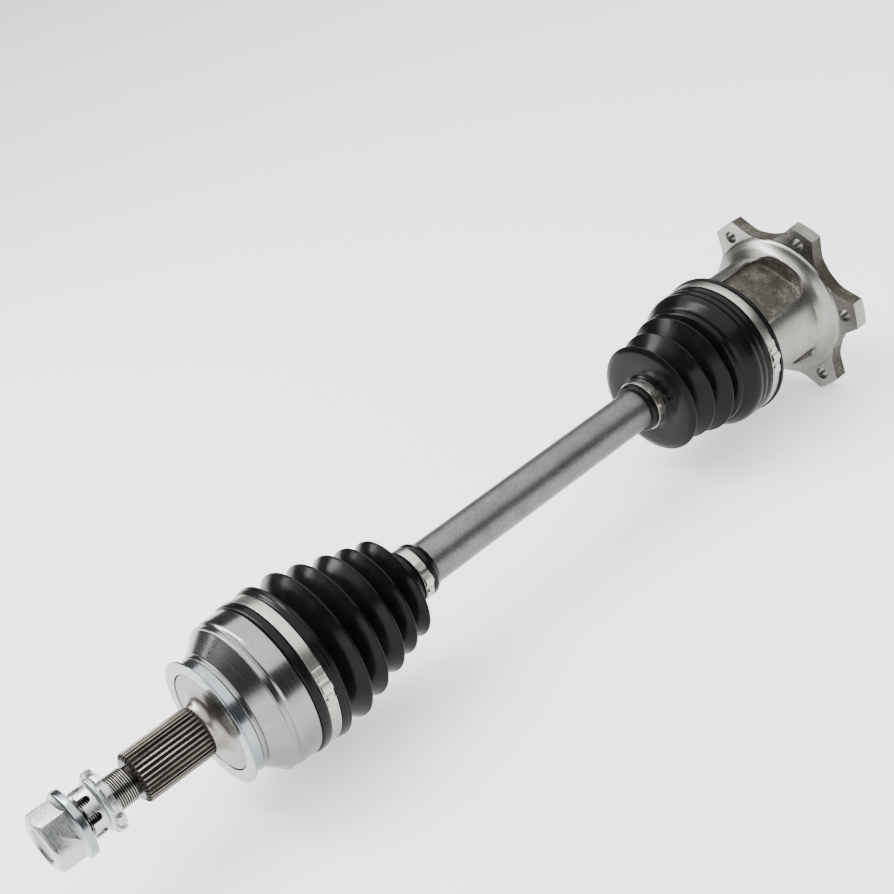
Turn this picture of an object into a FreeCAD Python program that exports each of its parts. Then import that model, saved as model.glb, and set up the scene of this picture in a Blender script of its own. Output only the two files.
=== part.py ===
import FreeCAD, Part
import math
import os
import Sketcher

# CV axle. The axle lies along X: the flange's mounting face is at x = 0 and the
# hub nut is at the -X end. +Z is up. Stations are distances along X in mm.

doc = FreeCAD.newDocument("cv_axle")
sheet = doc.addObject("Spreadsheet::Sheet", "Sizes")

driving_sizes = {
    # inner joint: flanged tulip, turned about X so that two lobes of the flange are lowest
    "clocking": 30,
    "flange_thick": 11.5, "flange_tip_rad": 77.5, "bolt_circle": 133.4, "bolt_hole_rad": 5.25,
    "flange_lobes": 6, "scallop_rad": 38, "scallop_centre": 97,
    "pilot_rad": 42, "pilot_deep": 4,
    "tulip_mouth": -96, "barrel_rad": 49.5, "barrel_fillet": 11, "cavity_floor": -16,
    "cavity_rad": 30, "mouth_flare": 34, "flare_long": 8,
    "pocket_floor": 37.5, "pocket_wide": 52, "pocket_end": -20, "pocket_corner": 14, "pocket_high": 30,
    "bushing_rad": 53.4, "bushing_long": 16,
    # tripod
    "tripod_at": -57, "roller_centre": 28.5, "roller_rad": 16, "roller_wide": 16, "track_rad": 17.4,
    "trunnion_rad": 10, "trunnion_tip": 38.5, "trunnion_root": 2,
    "needle_rad": 1.2, "needle_long": 12, "needle_count": 24, "needle_play": 0.02, "roller_play": 0.1,
    "hub_rad": 19.5, "hub_long": 24, "keeper_thick": 1.2, "keeper_rad": 12.2, "keeper_inset": 0.6,
    # bar
    "bar_rad": 16, "neck_rad": 12.8, "journal_rad": 12.4, "bar_taper": 8, "bar_tip": 3.4,
    "outer_cuff_at": -430, "inner_cuff_end": -166,
    # boot walls beside their clamps
    "seat_inset": 0.4, "seat_step": 0.2, "seat_past": 0.8, "cuff_past": 3, "inner_seat_past": 2,
    "clip_thick": 1.6, "clip_rad": 14.2, "clip_groove": 10.8, "clip_gap": 4,
    # outer joint: bell, stub, spline and thread
    "joint_at": -548, "ball_rad": 10, "ball_pitch": 32.5, "ball_count": 6, "ball_track": 11.2,
    "track_sweep": 100, "race_rad": 29.5, "race_half": 13, "cage_in": 30, "cage_out": 35.5,
    "cage_half": 14, "window_play": 0.05,
    "bell_cave": 36, "bell_rad": 55.2, "bell_front": -594.3, "bell_mouth": -529, "bell_step": -563,
    "flare_from": 4, "flare_neck": 32, "flare_mouth": 47,
    "bead_start": -569.5, "bead_rad": 54, "cone_start": -585, "cone_rad": 42.5,
    "cuff_seat": 52.4, "cuff_start": -549,
    "slinger_at": -595, "slinger_rad": 45.6, "slinger_hole": 36, "slinger_lip": 1.8,
    "slinger_body": 42.6, "slinger_long": 9, "slinger_fit": 0.02,
    "spline_start": -655, "spline_end": -602, "spline_rad": 17.9, "spline_root": 16.5,
    "spline_chamfer": 1.6, "tooth_count": 33, "tooth_gap": 1.7, "boss_rad": 22.5, "boss_long": 4,
    "relief_rad": 10.6, "boss_taper": 1.5, "thread_start": -657.5, "thread_rad": 12, "thread_chamfer": 1.5,
    "stub_end": -719,
    # hub nut and its retainer
    "nut_end": -720, "nut_face": -695, "nut_flats": 36, "nut_flange": 23.5, "nut_flange_thick": 6.5,
    "nut_chamfer": 1.6, "thread_gap": 0.05, "crown_end": -691.5, "plate_start": -680.5, "plate_end": -677.5,
    "crown_rad": 16.2, "crown_in": 13.6, "plate_gap": 0.1, "crown_slots": 8, "slot_wide": 5.8,
    "slot_deep": 7, "skirt_end": -673.1, "skirt_rad": 21.8, "skirt_thick": 1.7,
    "tab_count": 12, "tab_gap": 4.6,
    # boots and clamps
    "rubber": 2.8, "soft_gap": 0.3, "band": 0.9, "band_wide": 8.1, "small_band_wide": 7,
    "ear_wide": 4, "ear_high": 1.4, "ear_sunk": 0.3,
    "outer_band_at": -541.4, "outer_small_at": -425, "inner_small_at": -182, "inner_band_at": -92,
    "outer_lip_at": -548.6, "outer_lip_rad": 56.5, "outer_cuff_long": 21,
    "inner_lip_at": -187, "inner_seat_end": -80.5,
}

# Folds of the boots' outer surfaces as (station, radius), crest and valley in turn.
outer_folds = [
    (-528, 57), (-517.7, 43.2), (-507.4, 56.2), (-498.4, 38.6), (-489.4, 51.6), (-479.8, 33.3),
    (-470.2, 46.3), (-462.4, 29), (-454.6, 42), (-446.8, 25), (-439, 38)]
inner_folds = [
    (-169, 44.5), (-158, 31), (-147, 45), (-136, 33), (-131, 49.5), (-121, 40), (-112, 56.5),
    (-97, 56.9)]

for row, (alias, number) in enumerate(driving_sizes.items(), start=1):
    sheet.set("A%d" % row, alias)
    sheet.set("B%d" % row, str(number))
    sheet.setAlias("B%d" % row, alias)
doc.recompute()


def size(alias):
    return float(sheet.get(alias))


def number_of(words):
    """Number that an expression of $aliases stands for."""
    result = sheet.evalExpression(words.replace("$", ""))
    return float(getattr(result, "Value", result))


def bound(words):
    """The same expression with its $aliases as full references to the sheet."""
    return words.replace("$", "Sizes.")


def plane_of(body, role):
    return [item for item in body.Origin.OriginFeatures if item.Role == role][0]


def new_body(label):
    body = doc.addObject("PartDesign::Body", label)
    body.Label = label
    return body


def revolve(body, outline):
    """Turn an outline of (station, radius) expressions about the X axis."""
    sketch = body.newObject("Sketcher::SketchObject", body.Name + "_profile")
    sketch.AttachmentSupport = [(plane_of(body, "XZ_Plane"), "")]
    sketch.MapMode = "FlatFace"
    points = [FreeCAD.Vector(number_of(x), number_of(r), 0) for x, r in outline]
    count = len(points)
    for index in range(count):
        sketch.addGeometry(Part.LineSegment(points[index], points[(index + 1) % count]), False)
    for index in range(count):
        sketch.addConstraint(Sketcher.Constraint("Coincident", index, 2, (index + 1) % count, 1))
    for index, (x, r) in enumerate(outline):
        place = points[index]
        for direction, words, number in (("DistanceX", x, place.x), ("DistanceY", r, place.y)):
            if direction == "DistanceY" and abs(number) < 1e-9:
                sketch.addConstraint(Sketcher.Constraint("PointOnObject", index, 1, -1))
                continue
            at = sketch.addConstraint(Sketcher.Constraint(direction, -1, 1, index, 1, number))
            sketch.setExpression("Constraints[%d]" % at, bound(words))
    turned = body.newObject("PartDesign::Revolution", body.Name + "_turned")
    turned.Profile = sketch
    turned.ReferenceAxis = (sketch, ["H_Axis"])
    turned.Angle = 360
    doc.recompute()


def primitive(body, kind, name, sizes, base=("0", "0", "0"), rotation=None):
    """Add or cut a PartDesign primitive with its sizes and place bound to the sheet."""
    shape = body.newObject("PartDesign::" + kind, name)
    for key, words in sizes.items():
        shape.setExpression(key, bound(words))
    shape.Placement = FreeCAD.Placement(FreeCAD.Vector(), rotation or FreeCAD.Rotation())
    for axis, words in zip("xyz", base):
        shape.setExpression("Placement.Base." + axis, bound(words))
    doc.recompute()
    return shape


def ring_pattern(body, features, count):
    """Repeat one or more features round the X axis."""
    pattern = body.newObject("PartDesign::PolarPattern", features[0].Name + "_ring")
    pattern.Originals = features
    pattern.Axis = (plane_of(body, "X_Axis"), [""])
    pattern.Angle = 360
    pattern.setExpression("Occurrences", bound(count))
    body.Tip = pattern
    doc.recompute()


def round_edge(body, station, radius, fillet):
    """Fillet the circular edge at a station and radius."""
    tip = body.Tip
    names = []
    for index, edge in enumerate(tip.Shape.Edges, start=1):
        curve = edge.Curve
        if not isinstance(curve, Part.Circle) or len(edge.Vertexes) > 1:
            continue
        if abs(curve.Center.x - number_of(station)) < 0.01 and abs(curve.Radius - number_of(radius)) < 0.01:
            names.append("Edge%d" % index)
    rounded = body.newObject("PartDesign::Fillet", body.Name + "_fillet")
    rounded.Base = (tip, names)
    rounded.setExpression("Radius", bound(fillet))
    doc.recompute()


along_x = FreeCAD.Rotation(FreeCAD.Vector(0, 1, 0), 90)
axis_x = FreeCAD.Vector(1, 0, 0)
on_clock = FreeCAD.Placement(FreeCAD.Vector(), FreeCAD.Rotation(axis_x, size("clocking")))


def arm_turn(arm):
    """Rotation that carries +Z onto one of the tripod's three arms."""
    return FreeCAD.Rotation(axis_x, size("clocking") - 60 - 120 * arm)


nodes = []

# ---------------------------------------------------------------- inner joint


def flanged_tulip():
    body = new_body("flanged_tulip")
    revolve(body, [
        ("$tulip_mouth", "0"), ("$tulip_mouth", "$barrel_rad"), ("-$flange_thick", "$barrel_rad"),
        ("-$flange_thick", "$flange_tip_rad"), ("0", "$flange_tip_rad"), ("0", "$pilot_rad"),
        ("-$pilot_deep", "$pilot_rad"), ("-$pilot_deep", "0")])
    round_edge(body, "-$flange_thick", "$barrel_rad", "$barrel_fillet")
    # forged pockets between the three lobes, each with two rounded corners at its end
    corner_at = "$pocket_end - $pocket_corner"
    half = "$pocket_wide / 2 - $pocket_corner"
    pocket = [
        primitive(body, "SubtractiveBox", "pocket", {
            "Length": corner_at + " - $tulip_mouth + 1", "Width": "$pocket_wide", "Height": "$pocket_high"},
            ("$tulip_mouth - 1", "-$pocket_wide / 2", "$pocket_floor")),
        primitive(body, "SubtractiveBox", "pocket_end", {
            "Length": "$pocket_corner", "Width": "2 * (" + half + ")", "Height": "$pocket_high"},
            (corner_at, "-(" + half + ")", "$pocket_floor"))]
    for name, y in (("pocket_corner_a", half), ("pocket_corner_b", "-(" + half + ")")):
        pocket.append(primitive(body, "SubtractiveCylinder", name, {
            "Radius": "$pocket_corner", "Height": "$pocket_high"}, (corner_at, y, "$pocket_floor")))
    ring_pattern(body, pocket, "3")
    scallop = primitive(body, "SubtractiveCylinder", "scallop", {
        "Radius": "$scallop_rad", "Height": "$flange_thick + 4"},
        ("-$flange_thick - 2", "$scallop_centre * sin(30 deg)", "$scallop_centre * cos(30 deg)"), along_x)
    ring_pattern(body, [scallop], "$flange_lobes")
    hole = primitive(body, "SubtractiveCylinder", "bolt_hole", {
        "Radius": "$bolt_hole_rad", "Height": "$flange_thick + 4"},
        ("-$flange_thick - 2", "0", "$bolt_circle / 2"), along_x)
    ring_pattern(body, [hole], "$flange_lobes")
    primitive(body, "SubtractiveCylinder", "cavity", {
        "Radius": "$cavity_rad", "Height": "$cavity_floor - $tulip_mouth + 1"},
        ("$tulip_mouth - 1", "0", "0"), along_x)
    primitive(body, "SubtractiveCone", "mouth", {
        "Radius1": "$mouth_flare", "Radius2": "$cavity_rad", "Height": "$flare_long"},
        ("$tulip_mouth", "0", "0"), along_x)
    # roller tracks, one under each lobe
    track = primitive(body, "SubtractiveCylinder", "track", {
        "Radius": "$track_rad", "Height": "$cavity_floor - $tulip_mouth + 1"},
        ("$tulip_mouth - 1", "0", "-$roller_centre"), along_x)
    ring_pattern(body, [track], "3")
    body.Placement = on_clock
    nodes.append(body)


def inner_bushing():
    """Plastic bushing that fills the tulip's pockets under the boot, round outside."""
    solid = new_body("bushing_solid")
    primitive(solid, "AdditiveCylinder", "bushing_round", {
        "Radius": "$bushing_rad", "Height": "$bushing_long"}, ("$tulip_mouth", "0", "0"), along_x)
    blank = new_body("tulip_blank")
    primitive(blank, "AdditiveCylinder", "blank_round", {
        "Radius": "$barrel_rad", "Height": "$bushing_long + 2"}, ("$tulip_mouth - 1", "0", "0"), along_x)
    pocket = primitive(blank, "SubtractiveBox", "blank_pocket", {
        "Length": "$bushing_long + 4", "Width": "$pocket_wide", "Height": "$pocket_high"},
        ("$tulip_mouth - 2", "-$pocket_wide / 2", "$pocket_floor"))
    ring_pattern(blank, [pocket], "3")
    ring = doc.addObject("Part::Cut", "trilobe_bushing")
    ring.Base = solid
    ring.Tool = blank
    ring.Label = "trilobe_bushing"
    ring.Placement = on_clock
    doc.recompute()
    nodes.append(ring)


def spider():
    body = new_body("tripod_spider")
    primitive(body, "AdditiveCylinder", "hub", {"Radius": "$hub_rad", "Height": "$hub_long"},
              ("$tripod_at - $hub_long / 2", "0", "0"), along_x)
    trunnion = primitive(body, "AdditiveCylinder", "trunnion", {
        "Radius": "$trunnion_rad", "Height": "$trunnion_tip - $trunnion_root"},
        ("$tripod_at", "0", "-$trunnion_root"), FreeCAD.Rotation(axis_x, 180))
    ring_pattern(body, [trunnion], "3")
    primitive(body, "SubtractiveCylinder", "spider_bore", {
        "Radius": "$journal_rad", "Height": "$hub_long + 2"},
        ("$tripod_at - $hub_long / 2 - 1", "0", "0"), along_x)
    body.Placement = on_clock
    nodes.append(body)


def roller(arm):
    """Roller with a spherical tread, on one of the trunnions."""
    body = new_body("tripod_roller_%d" % (arm + 1))
    primitive(body, "AdditiveSphere", "tread_%d" % arm, {"Radius": "$roller_rad"})
    wide = "2 * $roller_rad + 2"
    for side, lift in (("top", "$roller_wide / 2"), ("foot", "-$roller_wide / 2 - $roller_rad")):
        primitive(body, "SubtractiveBox", "trim_%s_%d" % (side, arm), {
            "Length": wide, "Width": wide, "Height": "$roller_rad"},
            ("-$roller_rad - 1", "-$roller_rad - 1", lift))
    primitive(body, "SubtractiveCylinder", "roller_bore_%d" % arm, {
        "Radius": "$trunnion_rad + 2 * $needle_rad + $roller_play", "Height": wide},
        ("0", "0", "-$roller_rad - 1"))
    centre = arm_turn(arm).multVec(FreeCAD.Vector(0, 0, size("roller_centre")))
    centre.x = size("tripod_at")
    body.Placement = FreeCAD.Placement(centre, arm_turn(arm))
    nodes.append(body)


def on_arm(arm, spot):
    """A point given from the tripod's centre with +Z along the arm, in the axle's frame."""
    return arm_turn(arm).multVec(spot) + FreeCAD.Vector(size("tripod_at"), 0, 0)


def group_node(label, pieces):
    group = doc.addObject("Part::Feature", label)
    group.Shape = Part.makeCompound(pieces)
    group.Label = label
    nodes.append(group)


def needles():
    """Loose needles round the three trunnions, as one group of solids."""
    pieces = []
    circle = size("trunnion_rad") + size("needle_rad") + size("needle_play")
    count = int(size("needle_count"))
    low = size("roller_centre") - size("needle_long") / 2
    for arm in range(3):
        along = arm_turn(arm).multVec(FreeCAD.Vector(0, 0, 1))
        for index in range(count):
            angle = 2 * math.pi * index / count
            foot = FreeCAD.Vector(circle * math.cos(angle), circle * math.sin(angle), low)
            needle_foot = on_arm(arm, foot)
            pieces.append(Part.makeCylinder(size("needle_rad"), size("needle_long"), needle_foot, along))
    group_node("trunnion_needles", pieces)


def keepers():
    """Thin rings that hold the rollers on the trunnions."""
    pieces = []
    thick = size("keeper_thick")
    lift = size("trunnion_tip") - thick - size("keeper_inset")
    for arm in range(3):
        foot = on_arm(arm, FreeCAD.Vector(0, 0, lift))
        along = arm_turn(arm).multVec(FreeCAD.Vector(0, 0, 1))
        outer = Part.makeCylinder(size("keeper_rad"), thick, foot, along)
        pieces.append(outer.cut(Part.makeCylinder(size("trunnion_rad"), thick, foot, along)))
    group_node("roller_keepers", pieces)


# ------------------------------------------------------------------------ bar


def axle_bar():
    body = new_body("axle_bar")
    race_end = "$joint_at - $race_half"
    hub_end = "$tripod_at + $hub_long / 2"
    revolve(body, [
        (race_end + " - $bar_tip", "0"), (race_end + " - $bar_tip", "$journal_rad"),
        (race_end + " - $clip_thick", "$journal_rad"), (race_end + " - $clip_thick", "$clip_groove"),
        (race_end, "$clip_groove"), (race_end, "$journal_rad"),
        ("$joint_at + $race_half", "$journal_rad"), ("$joint_at + $race_half", "$neck_rad"),
        ("$outer_cuff_at - $bar_taper", "$neck_rad"), ("$outer_cuff_at", "$bar_rad"),
        ("$inner_cuff_end", "$bar_rad"), ("$inner_cuff_end + $bar_taper", "$neck_rad"),
        ("$tripod_at - $hub_long / 2", "$neck_rad"), ("$tripod_at - $hub_long / 2", "$journal_rad"),
        (hub_end, "$journal_rad"), (hub_end, "$clip_groove"), (hub_end + " + $clip_thick", "$clip_groove"),
        (hub_end + " + $clip_thick", "$journal_rad"), (hub_end + " + $bar_tip", "$journal_rad"),
        (hub_end + " + $bar_tip", "0")])
    nodes.append(body)


def circlip(label, station):
    body = new_body(label)
    revolve(body, [
        (station, "$clip_groove"), (station, "$clip_rad"),
        (station + " + $clip_thick", "$clip_rad"), (station + " + $clip_thick", "$clip_groove")])
    primitive(body, "SubtractiveBox", label + "_gap", {
        "Length": "$clip_thick + 2", "Width": "$clip_gap", "Height": "$clip_rad + 1"},
        (station + " - 1", "-$clip_gap / 2", "0"))
    nodes.append(body)


# ---------------------------------------------------------------- outer joint

track_start = math.radians(90 - size("track_sweep") / 2)
track_turn = FreeCAD.Rotation(
    FreeCAD.Vector(-math.sin(track_start), 0, math.cos(track_start)),
    FreeCAD.Vector(math.cos(track_start), 0, math.sin(track_start)),
    FreeCAD.Vector(0, 1, 0), "ZXY")


def ball_tracks(body, name):
    torus = primitive(body, "SubtractiveTorus", name, {
        "Radius1": "$ball_pitch", "Radius2": "$ball_track", "Angle3": "$track_sweep"},
        ("$joint_at", "0", "0"), track_turn)
    ring_pattern(body, [torus], "$ball_count")


def outer_housing():
    body = new_body("outer_housing")
    bore = "$slinger_hole - $slinger_fit"
    neck = "$slinger_at + $slinger_long + 1"
    revolve(body, [
        ("$stub_end", "0"), ("$stub_end", "$thread_rad - $thread_chamfer"),
        ("$stub_end + $thread_chamfer", "$thread_rad"),
        ("$thread_start", "$thread_rad"), ("$thread_start", "$relief_rad"),
        ("$spline_start", "$relief_rad"), ("$spline_start", "$spline_rad - $spline_chamfer"),
        ("$spline_start + $spline_chamfer", "$spline_rad"), ("$spline_end", "$spline_rad"),
        ("$spline_end + $boss_long", "$boss_rad - $boss_taper"),
        ("$bell_front", "$boss_rad + $boss_taper"),
        ("$bell_front", bore), (neck, bore), (neck, "$cone_rad"),
        ("$cone_start + 2", "$cone_rad"), ("$bead_start", "$bead_rad"), ("$bell_step", "$bead_rad"),
        ("$bell_step", "$bell_rad"), ("$cuff_start", "$bell_rad"), ("$cuff_start", "$cuff_seat"),
        ("$bell_mouth", "$cuff_seat"), ("$bell_mouth", "0")])
    groove = primitive(body, "SubtractiveBox", "spline_gap", {
        "Length": "$spline_end - $spline_start + 1", "Width": "$tooth_gap",
        "Height": "$spline_rad - $spline_root + 1"},
        ("$spline_start - 1", "-$tooth_gap / 2", "$spline_root"))
    ring_pattern(body, [groove], "$tooth_count")
    primitive(body, "SubtractiveSphere", "cave", {"Radius": "$bell_cave"}, ("$joint_at", "0", "0"))
    primitive(body, "SubtractiveCone", "bell_flare", {
        "Radius1": "$flare_neck", "Radius2": "$flare_mouth",
        "Height": "$bell_mouth - $joint_at - $flare_from + 1"},
        ("$joint_at + $flare_from", "0", "0"), along_x)
    ball_tracks(body, "bell_track")
    nodes.append(body)


def slinger():
    body = new_body("slinger_ring")
    lip = "$slinger_at + $slinger_lip"
    end = "$slinger_at + $slinger_long"
    revolve(body, [
        ("$slinger_at", "$slinger_hole"), ("$slinger_at", "$slinger_rad"), (lip, "$slinger_rad"),
        (lip, "$slinger_body"), (end, "$slinger_body"), (end, "$slinger_hole")])
    nodes.append(body)


def trimmed_ball(body, name, radius, half):
    """Ball at the joint's centre, cut square at each side."""
    primitive(body, "AdditiveSphere", name, {"Radius": radius}, ("$joint_at", "0", "0"))
    wide = "2 * " + radius + " + 2"
    for side, start in (("near", "$joint_at - " + half + " - " + radius), ("far", "$joint_at + " + half)):
        primitive(body, "SubtractiveBox", name + "_trim_" + side, {
            "Length": radius, "Width": wide, "Height": wide},
            (start, "-" + radius + " - 1", "-" + radius + " - 1"))


def inner_race():
    body = new_body("inner_race")
    trimmed_ball(body, "race_ball", "$race_rad", "$race_half")
    ball_tracks(body, "race_track")
    primitive(body, "SubtractiveCylinder", "race_bore", {
        "Radius": "$journal_rad", "Height": "4 * $race_half"}, ("$joint_at - 2 * $race_half", "0", "0"), along_x)
    nodes.append(body)


def ball_cage():
    body = new_body("ball_cage")
    trimmed_ball(body, "cage_ball", "$cage_out", "$cage_half")
    primitive(body, "SubtractiveSphere", "cage_hollow", {"Radius": "$cage_in"}, ("$joint_at", "0", "0"))
    window = primitive(body, "SubtractiveCylinder", "cage_window", {
        "Radius": "$ball_rad + $window_play", "Height": "$cage_out + 1"}, ("$joint_at", "0", "0"))
    ring_pattern(body, [window], "$ball_count")
    nodes.append(body)


def balls():
    for index in range(int(size("ball_count"))):
        ball = doc.addObject("Part::Sphere", "drive_ball_%d" % (index + 1))
        ball.Label = "drive_ball_%d" % (index + 1)
        ball.setExpression("Radius", bound("$ball_rad"))
        angle = 60 * index
        ball.setExpression("Placement.Base.x", bound("$joint_at"))
        ball.setExpression("Placement.Base.y", bound("$ball_pitch * sin(%d deg)" % angle))
        ball.setExpression("Placement.Base.z", bound("$ball_pitch * cos(%d deg)" % angle))
        nodes.append(ball)


# ------------------------------------------------------ hub nut and retainer


def hub_nut():
    body = new_body("hub_nut")
    hex_end = "$nut_face - $nut_flange_thick"
    bore = "$thread_rad + $thread_gap"
    corner = "$nut_flats / sqrt(3)"
    revolve(body, [
        ("$nut_end", bore), ("$nut_end", "$nut_flats / 2"), ("$nut_end + $nut_chamfer", corner),
        (hex_end, corner), (hex_end + " + $nut_chamfer", "$nut_flange"), ("$nut_face", "$nut_flange"),
        ("$nut_face", bore)])
    flat = primitive(body, "SubtractiveBox", "wrench_flat", {
        "Length": hex_end + " - $nut_end + 1", "Width": "$nut_flats / 2", "Height": "2 * $nut_flats"},
        ("$nut_end - 1", "$nut_flats / 2", "-$nut_flats"))
    ring_pattern(body, [flat], "6")
    nodes.append(body)


def nut_retainer():
    body = new_body("nut_retainer")
    skirt_in = "$skirt_rad - $skirt_thick"
    revolve(body, [
        ("$crown_end", "$crown_in"), ("$crown_end", "$crown_rad"), ("$plate_start", "$crown_rad"),
        ("$plate_start + 1", "$skirt_rad"), ("$skirt_end", "$skirt_rad"), ("$skirt_end", skirt_in),
        ("$plate_end", skirt_in), ("$plate_end", "$thread_rad + $plate_gap"),
        ("$plate_start", "$thread_rad + $plate_gap"), ("$plate_start", "$crown_in")])
    slot = primitive(body, "SubtractiveBox", "crown_slot", {
        "Length": "$slot_deep + 1", "Width": "$slot_wide", "Height": "$crown_rad"},
        ("$crown_end - 1", "-$slot_wide / 2", "$thread_rad"))
    ring_pattern(body, [slot], "$crown_slots")
    tab = primitive(body, "SubtractiveBox", "skirt_gap", {
        "Length": "$skirt_end - $plate_end + 1", "Width": "$tab_gap", "Height": "$skirt_thick + 2"},
        ("$plate_end", "-$tab_gap / 2", skirt_in + " - 1"))
    ring_pattern(body, [tab], "$tab_count")
    nodes.append(body)


# ----------------------------------------------------------- boots and clamps


cuff_words = "$bar_rad + $soft_gap + $rubber"
outer_seat_words = "$cuff_seat + $rubber"
inner_seat_words = "$bushing_rad + $soft_gap + $rubber"


def band(label, start, radius, width):
    """Steel band with its crimped ear."""
    body = new_body(label)
    inside = radius + " + $soft_gap"
    outside = inside + " + $band"
    end = start + " + " + width
    revolve(body, [(start, inside), (start, outside), (end, outside), (end, inside)])
    primitive(body, "AdditiveBox", label + "_ear", {
        "Length": width, "Width": "$ear_wide", "Height": "$ear_high"},
        (start, "-$ear_wide / 2", outside + " - $ear_sunk"))
    nodes.append(body)


def bellows(label, folds):
    """Boot wall: outside line out through the folds, inside line back one rubber thickness lower."""
    wall = size("rubber")
    outside = [FreeCAD.Vector(x, 0, r) for x, r in folds]
    inside = [FreeCAD.Vector(x, 0, r - wall) for x, r in folds]
    outline = Part.makePolygon(outside + inside[::-1] + [outside[0]])
    boot = doc.addObject("Part::Feature", label)
    boot.Shape = Part.Face(outline).revolve(FreeCAD.Vector(), axis_x, 360)
    boot.Label = label
    nodes.append(boot)


def outer_boot():
    seat = number_of(outer_seat_words)
    cuff = number_of(cuff_words)
    lip_end = size("outer_band_at") - size("seat_inset")
    fold_start = size("outer_band_at") + size("band_wide") + size("seat_past")
    neck = size("outer_cuff_at")
    bellows("outer_boot", [
        (size("outer_lip_at"), size("outer_lip_rad")), (lip_end, size("outer_lip_rad")),
        (lip_end + size("seat_step"), seat), (fold_start, seat)] + outer_folds + [
        (neck, cuff), (neck + size("outer_cuff_long"), cuff)])


def inner_boot():
    seat = number_of(inner_seat_words)
    cuff = number_of(cuff_words)
    bellows("inner_boot", [
        (size("inner_lip_at"), cuff), (size("inner_cuff_end") - size("cuff_past"), cuff)] + inner_folds + [
        (size("inner_band_at") - size("inner_seat_past"), seat), (size("inner_seat_end"), seat)])


flanged_tulip()
inner_bushing()
spider()
for tripod_arm in range(3):
    roller(tripod_arm)
needles()
keepers()
axle_bar()
circlip("race_circlip", "$joint_at - $race_half - $clip_thick")
circlip("spider_circlip", "$tripod_at + $hub_long / 2")
outer_housing()
slinger()
inner_race()
ball_cage()
balls()
hub_nut()
nut_retainer()
band("outer_boot_large_clamp", "$outer_band_at", outer_seat_words, "$band_wide")
band("outer_boot_small_clamp", "$outer_small_at", cuff_words, "$small_band_wide")
band("inner_boot_large_clamp", "$inner_band_at", inner_seat_words, "$band_wide")
band("inner_boot_small_clamp", "$inner_small_at", cuff_words, "$small_band_wide")
outer_boot()
inner_boot()
doc.recompute()

for item in doc.Objects:
    if {"Invalid", "Error"} & set(item.State):
        raise RuntimeError("%s failed to build: %s" % (item.Label, item.State))
for node in nodes:
    if node.Shape.isNull() or not node.Shape.isValid():
        raise RuntimeError("%s has no valid shape" % node.Label)

os.makedirs("parts", exist_ok=True)
for node in nodes:
    node.Shape.exportStep("parts/%s.step" % node.Label)
    print(node.Label, round(node.Shape.Volume), len(node.Shape.Solids), node.Shape.BoundBox)
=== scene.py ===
import math
import bmesh
import bpy
from mathutils import Matrix, Vector


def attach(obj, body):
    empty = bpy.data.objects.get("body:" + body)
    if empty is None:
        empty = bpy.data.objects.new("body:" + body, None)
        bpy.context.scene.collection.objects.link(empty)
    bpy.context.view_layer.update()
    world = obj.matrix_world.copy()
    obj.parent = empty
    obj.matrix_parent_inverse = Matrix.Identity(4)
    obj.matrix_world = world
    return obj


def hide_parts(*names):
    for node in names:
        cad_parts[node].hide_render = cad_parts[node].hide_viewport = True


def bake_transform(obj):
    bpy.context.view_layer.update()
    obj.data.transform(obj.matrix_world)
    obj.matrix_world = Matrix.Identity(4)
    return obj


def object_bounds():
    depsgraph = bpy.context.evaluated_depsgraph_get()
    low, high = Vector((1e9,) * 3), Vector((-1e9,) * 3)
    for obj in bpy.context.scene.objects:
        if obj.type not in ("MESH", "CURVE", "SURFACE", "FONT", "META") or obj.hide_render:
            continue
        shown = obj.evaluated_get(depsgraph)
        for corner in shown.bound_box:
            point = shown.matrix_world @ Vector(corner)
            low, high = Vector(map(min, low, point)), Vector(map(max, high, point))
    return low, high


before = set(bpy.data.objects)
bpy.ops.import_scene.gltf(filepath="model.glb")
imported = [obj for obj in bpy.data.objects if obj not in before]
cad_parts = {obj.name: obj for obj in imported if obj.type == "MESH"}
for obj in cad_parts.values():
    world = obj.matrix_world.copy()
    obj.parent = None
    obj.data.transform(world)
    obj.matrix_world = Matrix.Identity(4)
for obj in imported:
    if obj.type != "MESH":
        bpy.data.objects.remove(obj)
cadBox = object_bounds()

mm = 0.001
full = 2 * math.pi
along = Vector((1, 0, 0))
clock = math.radians(30)   # the flange's turn about X that puts two of its lobes lowest
print("frame loaded")


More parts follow.
